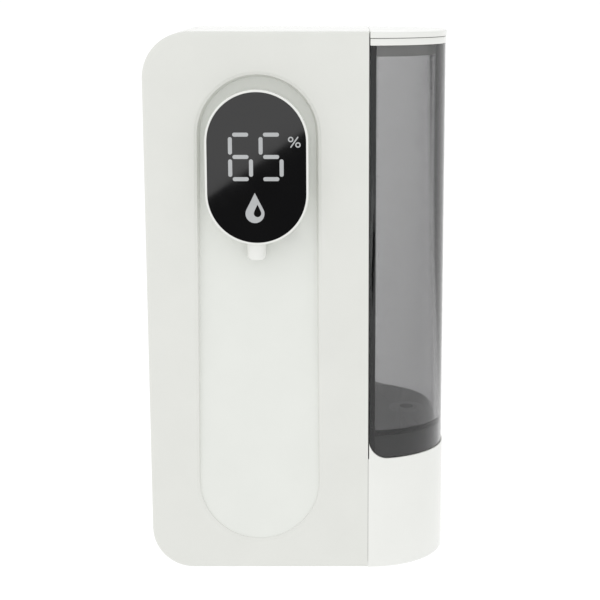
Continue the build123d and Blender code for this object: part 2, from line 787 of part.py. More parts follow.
def outlet_fitting():
    """Flanged barb under the tank's spigot."""
    x, y = outlet_x, outlet_y
    shape = rod_z(x, y, fitting_radius, flange_low, flange_low + fitting_flange)
    shape += rod_z(x, y, barb_radius, flange_low - barb_length - 0.5, flange_low)
    return shape - rod_z(x, y, fitting_bore, flange_low - barb_length - 1, flange_low + fitting_flange + 1)


def outlet_nut():
    """Hexagonal union nut that holds the fitting to the spigot."""
    nut = Pos(outlet_x, outlet_y) * (RegularPolygon(nut_radius, 6) - Circle(barb_radius + 0.4))
    shape = level(nut, nut_low, spigot_low + 3.5)
    return shape - rod_z(outlet_x, outlet_y, spigot_radius + 0.02, flange_low, spigot_low + 4)


def tank_filter():
    """Strainer disc in the outlet, flush with the tank's floor, with slots across it."""
    shape = rod_z(outlet_x, outlet_y, spigot_bore - 0.02, tank_floor - strainer_thickness, tank_floor)
    reach = spigot_bore - 0.7
    for y in (-1.2, 0.0, 1.2):
        half = (reach * reach - y * y) ** 0.5
        shape -= block(outlet_x - half, outlet_x + half, outlet_y + y - 0.2, outlet_y + y + 0.2,
                       tank_floor - strainer_thickness - 1, tank_floor + 1)
    return shape


# ---- Pump and motor ---------------------------------------------------------------------------------
def pump_outline():
    """Plan of the pump's body."""
    middle = motor_y - gear_radius
    half_y = gear_radius * 2 + gear_module + 4.0
    return Pos(motor_x, middle) * RectangleRounded(2 * pump_half_x, 2 * half_y, 3.0)


def pump_screw_places():
    """Screws at the pump's corners."""
    middle = motor_y - gear_radius
    reach = gear_radius * 2 + gear_module + 1.2
    return [(motor_x + sx * (pump_half_x - 2.8), middle + sy * reach) for sx in (-1, 1) for sy in (-1, 1)]


def pump_body():
    """Pump housing with a cavity for two gears, open at the bottom, and a barb on each side."""
    shape = level(pump_outline(), pump_bottom, pump_top)
    tip = gear_radius + gear_module + 0.15
    for y in (motor_y, motor_y - 2 * gear_radius):
        shape -= rod_z(motor_x, y, tip, pump_bottom - 1, gear_top + gear_clearance)
    for side in (-1, 1):
        reach = motor_x + side * (pump_half_x + barb_length)
        shape += rod_x(port_y, port_z, barb_radius, motor_x + side * (pump_half_x - 1), reach)
        shape -= rod_x(port_y, port_z, fitting_bore, motor_x + side * 3, reach + side)
    shape -= rod_z(motor_x, motor_y, motor_shaft_radius + 0.05, pump_bottom, pump_top + 1)
    shape -= rod_z(motor_x, motor_y, 4.0, pump_top - seal_depth, pump_top + 1)
    shape -= rod_z(motor_x, motor_y - 2 * gear_radius, pin_radius, pump_bottom, pump_top - 2)
    for x, y in pump_screw_places():
        shape -= rod_z(x, y, pump_screw_radius, pump_bottom - 1, pump_bottom + 8)
    return shape


def pump_gasket():
    """Flat gasket between the pump's body and its cover."""
    tip = gear_radius + gear_module + 0.9
    face = pump_outline()
    for y in (motor_y, motor_y - 2 * gear_radius):
        face -= Pos(motor_x, y) * Circle(tip)
    for x, y in pump_screw_places():
        face -= Pos(x, y) * Circle(1.3)
    return level(face, pump_bottom - gasket_thickness, pump_bottom)


def pump_cover():
    """Plate that closes the pump from below."""
    high = pump_bottom - gasket_thickness
    shape = level(pump_outline(), high - pump_cover_thickness, high)
    plug = gear_radius + gear_module + 0.1
    for y in (motor_y, motor_y - 2 * gear_radius):
        shape += rod_z(motor_x, y, plug, high - 1, pump_bottom)
    shape -= rod_z(motor_x, motor_y - 2 * gear_radius, pin_radius, high - 2, pump_bottom + 1)
    for x, y in pump_screw_places():
        shape -= rod_z(x, y, 1.3, high - pump_cover_thickness - 1, high + 1)
    return shape


def pump_screws():
    """Screws that hold the cover, with their heads below it."""
    high = pump_bottom - gasket_thickness - pump_cover_thickness
    screws = []
    for x, y in pump_screw_places():
        stem = rod_z(x, y, pump_screw_radius, high, pump_bottom + 6)
        screws.append(rod_z(x, y, 2.1, high - 1.3, high) + stem)
    return Compound(screws)


def gear_outline(thin):
    """Spur gear outline with involute flanks; thin is taken off each tooth at the pitch circle."""
    angle = radians(pressure_angle)
    base = gear_radius * cos(angle)
    tip, root = gear_radius + 0.8 * gear_module, gear_radius - 1.1 * gear_module
    half_tooth = pi / (2 * gear_teeth) - thin / (2 * gear_radius)
    involute_pitch = tan(angle) - angle
    flank = []
    for k in range(5):
        r = base + (tip - base) * k / 4
        roll = tan_from_radius(r, base)
        flank.append((r, half_tooth + involute_pitch - (roll - atan2(roll, 1))))
    points = []
    for tooth in range(gear_teeth):
        middle = 2 * pi * tooth / gear_teeth
        rising = [(root, -flank[0][1])] + [(r, -a) for r, a in flank]
        falling = [(r, a) for r, a in reversed(flank)] + [(root, flank[0][1])]
        points += [(r * cos(middle + a), r * sin(middle + a)) for r, a in rising + falling]
    return make_face(Polyline(*points, close=True))


def tan_from_radius(r, base):
    """Roll angle of an involute where it reaches radius r."""
    return (max(r * r - base * base, 0)) ** 0.5 / base


def pump_gear(y, bore, turn):
    """One pump gear on its axis."""
    face = Pos(motor_x, y) * Rot(0, 0, turn) * gear_outline(0.16) - Pos(motor_x, y) * Circle(bore)
    return level(face, gear_top - gear_thickness, gear_top)


def drive_gear():
    """Gear pressed on the motor's shaft."""
    return pump_gear(motor_y, motor_shaft_radius, 0)


def idler_gear():
    """Gear that turns on the fixed pin."""
    return pump_gear(motor_y - 2 * gear_radius, pin_radius + 0.04, 180 / gear_teeth)


def idler_pin():
    """Pin pressed into the pump's body."""
    low = pump_bottom - gasket_thickness - 1.8
    return rod_z(motor_x, motor_y - 2 * gear_radius, pin_radius, low, pump_top - 2)


def shaft_seal():
    """Lip seal round the motor's shaft."""
    return ring_z(motor_x, motor_y, 4.0, motor_shaft_radius + 0.05, pump_top - seal_depth, pump_top)


def motor_can():
    """Steel can of the motor, closed below and open above."""
    x, y = motor_x, motor_y
    high = pump_top + motor_length
    shape = rod_z(x, y, motor_radius, pump_top, high) - rod_z(x, y, motor_radius - 1, pump_top + 1, high + 1)
    return shape - rod_z(x, y, bush_radius, pump_top - 1, pump_top + 2)


def motor_magnets():
    """Two curved magnets inside the can."""
    high = pump_top + motor_length
    ring = ring_z(motor_x, motor_y, motor_radius - 1, motor_radius - 3.4, pump_top + 5, high - 5)
    gaps = block(motor_x - 20, motor_x + 20, motor_y - 3, motor_y + 3, pump_top, high)
    return ring - gaps


def motor_bushings():
    """Sintered bushes at both ends of the shaft."""
    bushes = []
    for low in (pump_top + 0.1, pump_top + motor_length + 0.5):
        inner = motor_shaft_radius + 0.03
        bushes.append(ring_z(motor_x, motor_y, bush_radius, inner, low, low + bush_length))
    return Compound(bushes)


def motor_shaft():
    """Steel shaft through the rotor and down into the drive gear."""
    high = pump_top + motor_length + 3.4
    return rod_z(motor_x, motor_y, motor_shaft_radius, gear_top - gear_thickness, high)


def motor_rotor():
    """Slotted rotor core with its commutator."""
    low, high = pump_top + 6, pump_top + motor_length - 7
    shape = ring_z(motor_x, motor_y, motor_radius - 4.0, motor_shaft_radius, low, high)
    for k in range(3):
        slot = Pos(motor_x, motor_y, (low + high) / 2) * Rot(0, 0, 120 * k) * Pos(motor_radius - 6, 0, 0)
        shape -= slot * Box(6, 2.2, high - low + 2)
    return shape + ring_z(motor_x, motor_y, 2.6, motor_shaft_radius, high, high + 4)


def motor_end_cap():
    """Plastic cap that closes the can and holds the upper bush and the terminals."""
    low = pump_top + motor_length
    shape = rod_z(motor_x, motor_y, motor_radius, low, low + 2) + rod_z(motor_x, motor_y, 4.5, low, low + 4)
    shape -= rod_z(motor_x, motor_y, bush_radius, low - 1, low + 3.0)
    shape -= rod_z(motor_x, motor_y, 1.6, low, low + 5)
    for side in (-1, 1):
        x = motor_x + side * terminal_spacing / 2
        shape += block(x - 0.4, x + 0.4, motor_y - 1.4, motor_y + 1.4, low, low + 6)
    return shape


def inlet_hose():
    """Hose from the tank's outlet to the pump."""
    high = nut_low - 0.4
    end = motor_x + pump_half_x + 0.5
    corner = outlet_x - (motor_x + pump_half_x + barb_length) - 0.5
    return hose([(outlet_x, outlet_y, high), (outlet_x, outlet_y, port_z), (end, port_y, port_z)], [corner])


def delivery_hose():
    """Hose from the pump up to the nozzle."""
    start = motor_x - pump_half_x - 0.5
    x = start - 22.0
    points = [(start, port_y, port_z), (x, port_y, port_z), (x, port_y, tank_floor),
              (nozzle_x, port_y, elbow_z - 12.0), (nozzle_x, port_y - 10.0, elbow_z),
              (nozzle_x, nozzle_y + 7.0, elbow_z)]
    return hose(points, [15.0, 60.0, 18.0, 16.0])


# ---- Power and electronics --------------------------------------------------------------------------
def battery_cell():
    """Rechargeable cell with its raised cap."""
    high = cell_low + cell_length
    shape = fillet(rod_z(cell_x, cell_y, cell_radius, cell_low, high).edges(), 0.6)
    return shape + rod_z(cell_x, cell_y, cell_cap_radius, high - 0.5, high + cell_cap_height)


def battery_contacts():
    """Contact plate above the cell, and plate and spring cone below it."""
    low, high = cell_low - 1.2, cell_low + cell_length + cell_cap_height
    x0, x1, y0, y1 = cell_x - 4.0, cell_x + 4.0, cell_y - 1.0, cell_y + 5.0
    cone = Pos(cell_x, cell_y, cell_low - 0.5) * (Cone(3.2, 1.6, 1.0) - Cone(2.7, 1.1, 1.0))
    return Compound([block(x0, x1, y0, y1, high, high + 0.4), block(x0, x1, y0, y1, low, low + 0.3) + cone])


def battery_holder():
    """Cradle with an end wall above and below the cell."""
    low, high = cell_low - 3.0, cell_low + cell_length + 3.0
    half = cell_radius + holder_wall
    shape = block(cell_x - half, cell_x + half, holder_back, cell_y - 2, low, high)
    return shape - rod_z(cell_x, cell_y, cell_radius + fit, low + 1.8, high - 1.8)


def main_board():
    """Control board behind the panel, with its chips and connectors."""
    x, z, y = main_board_x, main_board_z, main_board_y
    half_w, half_h = main_board_width / 2, main_board_height / 2
    shape = block(x - half_w, x + half_w, y, y - board_thickness, z - half_h, z + half_h)
    for dx, dz, width, height, thickness in board_parts():
        x0, z0 = x + dx - width / 2, z + dz - height / 2
        shape += block(x0, x0 + width, y - 1, y - board_thickness - thickness, z0, z0 + height)
    for hole_x, hole_z in board_screw_places():
        shape -= rod_y(hole_x, hole_z, 1.2, y + 1, y - 5)
    return shape


def board_parts():
    """Chips and connectors: place on the board, width, height and thickness."""
    return [(0, 8, 9, 9, 1.4), (-4, -12, 5, 6, 1.2), (5, -22, 6, 4, 2.0), (6, 18, 4, 4, 1.6),
            (-1, 29, 8, 5, connector_height), (-2, -31, 6, 5, connector_height)]


def board_screw_places():
    """Places of the control board's screws."""
    return [(main_board_x + side * main_screw_x, main_board_z + end * main_screw_z)
            for side in (-1, 1) for end in (-1, 1)]


def board_screws():
    """Screws that hold the control board."""
    screws = []
    y = main_board_y - board_thickness
    for x, z in board_screw_places():
        screws.append(rod_y(x, z, 1.9, y, y - 1.2) + rod_y(x, z, 0.9, y, y + 6))
    return Compound(screws)


def charge_board():
    """Small board above the underside, with the switch under it."""
    x0, x1 = port_x - 7, button_x + 6
    shape = block(x0, x1, service_y - 8, service_y + 8, board_low, board_low + board_thickness)
    shape += block(button_x - 3, button_x + 3, service_y - 3, service_y + 3, board_low - 2.4, board_low + 0.5)
    for x, y in charge_post_places():
        shape -= rod_z(x, y, 0.9, board_low - 1, board_low + 3)
    return shape


def charge_posts():
    """Posts on the floor that the charging board stands on."""
    posts = None
    for x, y in charge_post_places():
        post = rod_z(x, y, 1.9, bottom + 1, board_low) - rod_z(x, y, 0.8, board_low - 5, board_low + 1)
        posts = post if posts is None else posts + post
    return posts


def charge_post_places():
    """Places of the charging board's posts."""
    return [(port_x - 5.0, service_y + 6.3), (button_x + 5.0, service_y + 6.3)]


def charge_socket():
    """Charging socket that faces down through the underside."""
    low, high = bottom + flap_thickness + flap_plug + 0.2, board_low
    shell = Pos(port_x, service_y) * SlotOverall(socket_width, socket_depth)
    inside = Pos(port_x, service_y) * SlotOverall(socket_width - 0.6, socket_depth - 0.6)
    shape = level(shell, low, high) - level(inside, low - 1, high - 1.2)
    half, thin = socket_width / 2 - 1.25, 0.35
    y0, y1 = service_y - thin, service_y + thin
    return shape + block(port_x - half, port_x + half, y0, y1, low + 0.8, high - 1)


def port_cover():
    """Rubber cover that swings down from the socket on the rolled bead at its left edge."""
    x1 = port_x + flap_offset + flap_width / 2
    half = flap_depth / 2
    corners = [(x1, service_y - half, 1.5), (x1, service_y + half, 1.5)]
    face = plate(flap_left, x1, service_y - half, service_y + half, corners)
    shape = level(face, bottom, bottom + flap_thickness)
    bead = flap_thickness / 2
    shape += rod_y(flap_left, bottom + bead, bead, service_y - half, service_y + half)
    plug = SlotOverall(socket_width - 1.3, socket_depth - 1.3)
    plug -= SlotOverall(socket_width - 2.0, socket_depth - 2.0)
    top_face = bottom + flap_thickness
    return shape + level(Pos(port_x, service_y) * plug, top_face, top_face + flap_plug)


def power_button():
    """Button in the underside, with a flange that keeps it in."""
    low = bottom - 0.6
    shape = rod_z(button_x, service_y, button_radius, low, bottom + wall + fit + 1.2)
    shape = fillet(shape.edges().group_by(Axis.Z)[0], 0.5)
    flange = rod_z(button_x, service_y, button_radius + 1.4, bottom + wall + fit, bottom + wall + fit + 1.0)
    return shape + flange


def button_dome():
    """Rubber dome that pushes the button back."""
    low = bottom + wall + fit + 1.2
    high = board_low - 2.4
    shape = Pos(button_x, service_y, (low + high) / 2) * Cone(2.0, 3.0, high - low)
    return shape - Pos(button_x, service_y, (low + high) / 2) * Cone(1.4, 2.4, high - low)


def motor_leads():
    """Two wires from the motor's terminals to the control board."""
    wires = []
    y1 = main_board_y - board_thickness - connector_height
    z0 = pump_top + motor_length + 6
    z1 = main_board_z - 31
    for side in (-1, 1):
        x = motor_x + side * terminal_spacing / 2
        end_x = main_board_x - 2 + side * 1.2
        points = [(x, motor_y, z0), (x, motor_y, z0 + 4.5), (end_x, y1 - 8, z1), (end_x, y1, z1)]
        wires.append(lead(points, [3.0, 4.0], 0.6))
    return Compound(wires)


# ---- Writing the pieces -----------------------------------------------------------------------------
pieces = [wall_bracket, rear_cover, case_screws, main_shell, front_panel, panel_seal, panel_screws,
          pod_shell, pod_screws, display_lens, display_digits, display_signs, display_module, display_board,
          nozzle, nozzle_valve, sensor_window, tank, tank_collar, tank_lid, lid_seal,
          tank_pad, outlet_seal, outlet_fitting, outlet_nut, tank_filter,
          pump_body, pump_gasket, pump_cover,
          pump_screws, drive_gear, idler_gear, idler_pin, shaft_seal, motor_can, motor_magnets,
          motor_bushings, motor_shaft, motor_rotor, motor_end_cap, inlet_hose, delivery_hose,
          battery_cell, battery_holder, battery_contacts, main_board, board_screws, charge_board,
          charge_socket, port_cover, power_button, button_dome, motor_leads]

os.makedirs("parts", exist_ok=True)
for piece in pieces:
    export_step(piece(), f"parts/{piece.__name__}.step")
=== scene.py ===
"""Looks of a touch-free wall dispenser for liquid soap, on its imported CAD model. Units are metres."""
import json
import math

import bmesh
import bpy
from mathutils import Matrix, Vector


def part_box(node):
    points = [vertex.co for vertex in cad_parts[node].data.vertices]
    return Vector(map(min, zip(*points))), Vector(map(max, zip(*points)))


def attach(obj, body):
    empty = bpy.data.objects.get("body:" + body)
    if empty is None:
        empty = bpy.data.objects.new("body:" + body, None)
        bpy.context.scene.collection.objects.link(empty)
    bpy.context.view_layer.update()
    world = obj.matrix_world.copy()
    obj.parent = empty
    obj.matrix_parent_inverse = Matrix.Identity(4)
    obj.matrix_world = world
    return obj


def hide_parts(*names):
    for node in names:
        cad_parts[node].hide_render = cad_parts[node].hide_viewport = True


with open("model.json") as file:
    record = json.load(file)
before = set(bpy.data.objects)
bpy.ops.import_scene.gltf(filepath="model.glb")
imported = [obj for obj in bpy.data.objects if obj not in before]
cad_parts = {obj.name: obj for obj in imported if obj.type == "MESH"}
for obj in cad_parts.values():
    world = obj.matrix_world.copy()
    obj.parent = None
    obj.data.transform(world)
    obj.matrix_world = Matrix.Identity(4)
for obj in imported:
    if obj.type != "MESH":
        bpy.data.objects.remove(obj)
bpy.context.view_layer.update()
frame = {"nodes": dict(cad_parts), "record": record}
MM = 0.001

# ---- Where things are, from the frame ---------------------------------------------------------------
shell_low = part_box("main_shell")[0]
panel_low, panel_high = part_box("front_panel")
lens_low, lens_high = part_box("display_lens")
cover_low, cover_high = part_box("port_cover")
tank_low, tank_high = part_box("tank")
button_low, button_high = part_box("power_button")
front_y = panel_low[1]
lens_middle = Vector([(low + high) / 2 for low, high in zip(lens_low, lens_high)])

# ---- Sizes of the detail that the finish adds -------------------------------------------------------
screw_pitch = 1.1 * MM
screw_cross = 0.35 * MM             # half the width of the cross recess
rib_width, rib_height = 0.5 * MM, 0.3 * MM
rib_share = 0.6                     # of the cover's breadth
rib_count, rib_pitch = 3, 1.1 * MM
rib_margin = 1.6 * MM               # first rib from the cover's free end
ring_count = 3.0
first_ring, ring_step = 0.2, 0.13   # shares of the button's radius
finger_ring_radius = 0.16 * MM
sunk = 0.02 * MM                    # ribs start this far inside the cover

# ---- How the CAD shapes are cleaned -----------------------------------------------------------------
weld_distance = 0.002 * MM
same_plane = math.radians(0.3)
broad_face = 2.5 * MM               # faces broader than this are shaded flat
scoop_facing, lens_facing = -0.97, -0.99    # Y of the normals that count as looking forward
scoop_margin = 3.0 * MM             # the scoop lies at least this far inside the panel's outline
scoop_start = 0.45 * MM             # and deeper than this under its front


# ---- Camera -----------------------------------------------------------------------------------------
def add_camera():
    """A long lens a little right of centre and above, looking down at the front."""
    distance, height, right = 0.5565, 0.2140, 17.3 * MM      # from the panel, the underside and the middle
    pitch = 0.2008
    data = bpy.data.cameras.new("camera")
    data.sensor_width = 36.0
    data.lens = 95.6
    data.shift_x = -0.077           # the object stands left of the middle of the view
    data.clip_end = 600.0
    camera = bpy.data.objects.new("camera", data)
    camera.location = (right, front_y - distance, shell_low[2] + height)
    camera.rotation_euler = (math.pi / 2 - pitch, 0, 0)
    bpy.context.scene.collection.objects.link(camera)
    bpy.context.scene.camera = camera


# ---- Colours and shader nodes -----------------------------------------------------------------------
def colour(code):
    """An sRGB hex value as linear red, green, blue and alpha."""
    parts = [int(code[k:k + 2], 16) / 255 for k in (1, 3, 5)]
    linear = [p / 12.92 if p <= 0.04045 else ((p + 0.055) / 1.055) ** 2.4 for p in parts]
    return (*linear, 1.0)


def add_node(tree, kind, values=None, **links):
    """Adds a node, sets its options and inputs, and feeds inputs from other nodes' outputs."""
    made = tree.nodes.new(kind)
    for name, value in (values or {}).items():
        if isinstance(name, str) and hasattr(made, name):
            setattr(made, name, value)
        else:
            made.inputs[name].default_value = value
    for name, source in links.items():
        tree.links.new(source, made.inputs[name.replace("_", " ")])
    return made


def new_material(name):
    """An empty material, its node tree and its output node."""
    material = bpy.data.materials.new(name)
    material.use_nodes = True
    tree = material.node_tree
    tree.nodes.clear()
    return material, tree, tree.nodes.new("ShaderNodeOutputMaterial")


def mottled(tree, where, low, high, grain):
    """A colour that wanders between two close tones, grain metres across."""
    noise = add_node(tree, "ShaderNodeTexNoise", {"Scale": 1 / grain, "Detail": 3.0}, Vector=where)
    ramp = add_node(tree, "ShaderNodeValToRGB", Fac=noise.outputs["Fac"])
    ramp.color_ramp.elements[0].position, ramp.color_ramp.elements[0].color = 0.3, colour(low)
    ramp.color_ramp.elements[1].position, ramp.color_ramp.elements[1].color = 0.7, colour(high)
    return ramp.outputs["Color"]


def moulded(name, low, high, rough, grain, relief, spread=0.05, values=None):
    """Injection-moulded plastic or rubber: close tones, a fine grain and slightly uneven gloss."""
    material, tree, out = new_material(name)
    where = add_node(tree, "ShaderNodeTexCoord").outputs["Object"]
    texture = add_node(tree, "ShaderNodeTexNoise", {"Scale": 1 / grain, "Detail": 4.0}, Vector=where)
    bump = add_node(tree, "ShaderNodeBump", {"Strength": relief, "Distance": 0.05 * MM},
                    Height=texture.outputs["Fac"])
    patch = add_node(tree, "ShaderNodeTexNoise", {"Scale": 1 / (9 * MM), "Detail": 2.0}, Vector=where)
    gloss = add_node(tree, "ShaderNodeMapRange", {"From Min": 0.3, "From Max": 0.7, "To Min": rough - spread,
                                                  "To Max": rough + spread}, Value=patch.outputs["Fac"])
    tone = mottled(tree, where, low, high, 14 * MM)
    skin = add_node(tree, "ShaderNodeBsdfPrincipled", values, Base_Color=tone,
                    Roughness=gloss.outputs["Result"], Normal=bump.outputs["Normal"])
    tree.links.new(skin.outputs["BSDF"], out.inputs["Surface"])
    return material


def smoked_styrene():
    """Smoke-tinted clear tank wall: long paths through it go dark, and its colour is a little darker low
    down.
    """
    material, tree, out = new_material("smoked clear styrene")
    where = add_node(tree, "ShaderNodeTexCoord").outputs["Object"]
    flow = add_node(tree, "ShaderNodeTexNoise", {"Scale": 1 / (22 * MM), "Detail": 1.0}, Vector=where)
    bump = add_node(tree, "ShaderNodeBump", {"Strength": 0.05, "Distance": 0.2 * MM},
                    Height=flow.outputs["Fac"])
    gloss = add_node(tree, "ShaderNodeMapRange", {"To Min": 0.03, "To Max": 0.07}, Value=flow.outputs["Fac"])
    height = add_node(tree, "ShaderNodeSeparateXYZ", Vector=where).outputs["Z"]
    clear = add_node(tree, "ShaderNodeMapRange", {"From Min": tank_low[2], "From Max": tank_high[2],
                                                  "To Min": 0.85, "To Max": 0.96}, Value=height)
    skin = add_node(tree, "ShaderNodeBsdfPrincipled", {"IOR": 1.57, "Transmission Weight": 1.0},
                    Base_Color=clear.outputs["Result"], Roughness=gloss.outputs["Result"],
                    Normal=bump.outputs["Normal"])
    tint = add_node(tree, "ShaderNodeVolumeAbsorption", {"Color": colour("#8C8C8E"), "Density": 340.0})
    tree.links.new(skin.outputs["BSDF"], out.inputs["Surface"])
    tree.links.new(tint.outputs["Volume"], out.inputs["Volume"])
    return material


def steel(name, code, rough, grain):
    """Bare or plated metal with fine, uneven lines in its surface."""
    material, tree, out = new_material(name)
    where = add_node(tree, "ShaderNodeTexCoord").outputs["Object"]
    scratch = add_node(tree, "ShaderNodeTexNoise", {"Scale": 1 / grain, "Detail": 5.0}, Vector=where)
    gloss = add_node(tree, "ShaderNodeMapRange", {"To Min": rough - 0.08, "To Max": rough + 0.1},
                     Value=scratch.outputs["Fac"])
    bump = add_node(tree, "ShaderNodeBump", {"Strength": 0.1, "Distance": 0.02 * MM},
                    Height=scratch.outputs["Fac"])
    skin = add_node(tree, "ShaderNodeBsdfPrincipled", {"Base Color": colour(code), "Metallic": 1.0},
                    Roughness=gloss.outputs["Result"], Normal=bump.outputs["Normal"])
    tree.links.new(skin.outputs["BSDF"], out.inputs["Surface"])
    return material


def make_materials():
    """Every finish on the dispenser, by the record's slot name."""
    glow = {"Emission Color": colour("#E8EAEA"), "Emission Strength": 0.04}
    return {
        # Spark-eroded mould: a dull skin with a grain of about a third of a millimetre.
        "panel_white": moulded("matt ABS", "#DADBD6", "#DCDDD8", 0.52, 0.35 * MM, 0.12),
        # Stoned mould: the scoop is silkier than the panel round it, and painted a touch lighter for the
        # light its upward-tilted floor catches from above.
        "scoop_painted_light": moulded("satin ABS painted lighter", "#DEE0DB", "#E0E2DD", 0.42, 0.6 * MM, 0.06),
        # Polished mould: a wet-looking skin with a faint long wave.
        "white_gloss": moulded("gloss ABS", "#E4E5E1", "#E6E7E3", 0.17, 3.0 * MM, 0.04, 0.03),
        # Polished sheet over a black print: almost a mirror, so it shows the studio's cards.
        "black_lens": moulded("black acrylic", "#070708", "#09090A", 0.04, 8.0 * MM, 0.01, 0.01),
        # Fine-blasted sheet over lamps: it spreads a little light of its own.
        "light_window": moulded("frosted acrylic", "#A4A6A7", "#ADAFB0", 0.38, 0.2 * MM, 0.1, 0.04, glow),
        "smoke_clear": smoked_styrene(),
        # Moulded silicone and nitrile: a soft, dry skin that hardly shines.
        "white_rubber": moulded("white silicone", "#DADAD6", "#DFDFDB", 0.6, 0.25 * MM, 0.15),
        "grey_rubber": moulded("grey silicone", "#A6A7A7", "#AEAFAF", 0.62, 0.3 * MM, 0.15),
        "black_rubber": moulded("black nitrile rubber", "#0D0D0E", "#121213", 0.7, 0.3 * MM, 0.2),
        # Extruded hose: smoother along its length than the moulded rubber, so it shines a little.
        "hose_silicone": moulded("natural silicone hose", "#DADCDC", "#E2E4E4", 0.35, 0.6 * MM, 0.08),
        # Powder coat baked on sheet steel: a fine orange-peel skin.
        "bracket_steel": moulded("powder-coated steel", "#D6D6D2", "#DBDBD7", 0.45, 0.8 * MM, 0.3),
        # Bright zinc over turned steel: a cool shine broken by fine tool lines.
        "steel": steel("zinc-plated steel", "#B9BABC", 0.3, 0.15 * MM),
        # Glass fibre near the surface makes nylon dull and slightly rough; acetal stays slick and milky.
        "pump_plastic": moulded("glass-filled nylon", "#232325", "#2C2C2F", 0.55, 0.4 * MM, 0.25),
        "gear_plastic": moulded("acetal", "#E8E8E2", "#EDEDE8", 0.3, 0.4 * MM, 0.06),
        # Inside the motor: a drawn, nickel-plated can, pressed ferrite, varnished windings and oiled bronze.
        "motor_steel": steel("nickel-plated steel", "#C4C4C0", 0.26, 0.3 * MM),
        "ferrite": moulded("ferrite", "#1E1E20", "#29292B", 0.6, 0.2 * MM, 0.3),
        "rotor_core": steel("rotor laminations and copper", "#9A6B4A", 0.4, 0.3 * MM),
        "bush_metal": steel("sintered bronze", "#A8814F", 0.45, 0.15 * MM),
        # Thin film shrunk over the cell: smooth, with a plain plastic shine.
        "cell_wrap": moulded("shrink-wrapped cell", "#1F5C74", "#23647D", 0.3, 2.0 * MM, 0.06),
        # Textured mould: an even black with a low shine.
        "black_plastic": moulded("black ABS", "#131314", "#18181A", 0.45, 0.4 * MM, 0.15),
        # Printed mask over glass cloth: a glossy green with a slight weave.
        "board_green": moulded("solder mask on glass laminate", "#0E4427", "#135231", 0.3, 0.5 * MM, 0.12),
        # Drawn and plated shell of the charging socket.
        "socket_metal": steel("drawn nickel steel", "#C8C8C6", 0.25, 0.2 * MM),
        # Dyed clear acrylic: reads as near black with a red cast, and shines.
        "ir_window": moulded("infrared-pass acrylic", "#120A0E", "#170D12", 0.1, 4.0 * MM, 0.02, 0.02),
        # Soft PVC sleeve of the motor's leads.
        "wire": moulded("wire insulation", "#8C1712", "#9C1D16", 0.4, 0.5 * MM, 0.1),
    }


# ---- Pieces carried over from the CAD ---------------------------------------------------------------
def link(mesh, name):
    """An object at the origin for a finished mesh."""
    piece = bpy.data.objects.new(name, mesh)
    bpy.context.scene.collection.objects.link(piece)
    return piece


def merged_copy(node, name):
    """The CAD node's shape as one joined mesh with flat faces made whole."""
    mesh = frame["nodes"][node].data.copy()
    mesh.name = name
    work = bmesh.new()
    work.from_mesh(mesh)
    bmesh.ops.remove_doubles(work, verts=work.verts, dist=weld_distance)
    bmesh.ops.dissolve_limit(work, angle_limit=same_plane, verts=work.verts, edges=work.edges)
    work.to_mesh(mesh)
    work.free()
    mesh.materials.clear()
    return link(mesh, name)


def smooth_by_angle(piece, degrees):
    """Soft shading except across edges sharper than this; broad flat faces stay truly flat."""
    work = bmesh.new()
    work.from_mesh(piece.data)
    for face in work.faces:
        breadth = face.calc_area() / max(edge.calc_length() for edge in face.edges)
        face.smooth = breadth < broad_face
    for edge in work.edges:
        edge.smooth = len(edge.link_faces) == 2 and edge.calc_face_angle(0) < math.radians(degrees)
    work.to_mesh(piece.data)
    work.free()


def apply_modifiers(piece):
    """Turns a piece with live modifiers into a plain mesh."""
    ready = piece.evaluated_get(bpy.context.evaluated_depsgraph_get())
    mesh = bpy.data.meshes.new_from_object(ready)
    old = piece.data
    piece.modifiers.clear()
    piece.data = mesh
    bpy.data.meshes.remove(old)


def body_of(node):
    """The body that a CAD node rides on."""
    for body, nodes in frame["record"]["behaviour"]["bodies"].items():
        if node in nodes:
            return body


def settle(piece, node, slot):
    """The piece stands for its CAD node, on the same body, in the finish of its slot."""
    if not piece.data.materials:
        piece.data.materials.append(materials[slot])
    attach(piece, body_of(node))
    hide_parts(node)


def dress_from_cad(node, slot, round_mm, angle=32):
    """A finished piece from a CAD node: its edges rounded as the mould rounds them."""
    piece = merged_copy(node, node + "_skin")
    if round_mm:
        bevel = piece.modifiers.new("rounded edges", "BEVEL")
        bevel.width = round_mm * MM
        bevel.segments = 3
        bevel.limit_method = "ANGLE"
        bevel.angle_limit = math.radians(angle)
        bevel.use_clamp_overlap = True
        bevel.miter_outer = "MITER_ARC"
        apply_modifiers(piece)
    smooth_by_angle(piece, angle)
    settle(piece, node, slot)
    return piece


def paint_scoop(panel):
    """The scooped recess of the panel gets its own silkier skin, in a lighter tone that is painted light."""
    panel.data.materials.append(materials["scoop_painted_light"])
    for face in panel.data.polygons:
        middle = face.center
        inside = all(panel_low[k] + scoop_margin < middle[k] < panel_high[k] - scoop_margin for k in (0, 2))
        if inside and face.normal.y < scoop_facing and middle.y > front_y + scoop_start:
            face.material_index = 1


def dress_lens():
    """The display's lens keeps its CAD edges, and its polished front stays truly flat."""
    lens = dress_from_cad("display_lens", "black_lens", 0)
    for face in lens.data.polygons:
        if face.normal.y < lens_facing:
            face.use_smooth = False


def paint_cad_nodes():
    """Gives every CAD node the finish of its slot."""
    slots = {part["node"]: part["material_slot"] for part in frame["record"]["subparts"]}
    for name, piece in frame["nodes"].items():
        piece.data.materials.clear()
        piece.data.materials.append(materials[slots[name]])


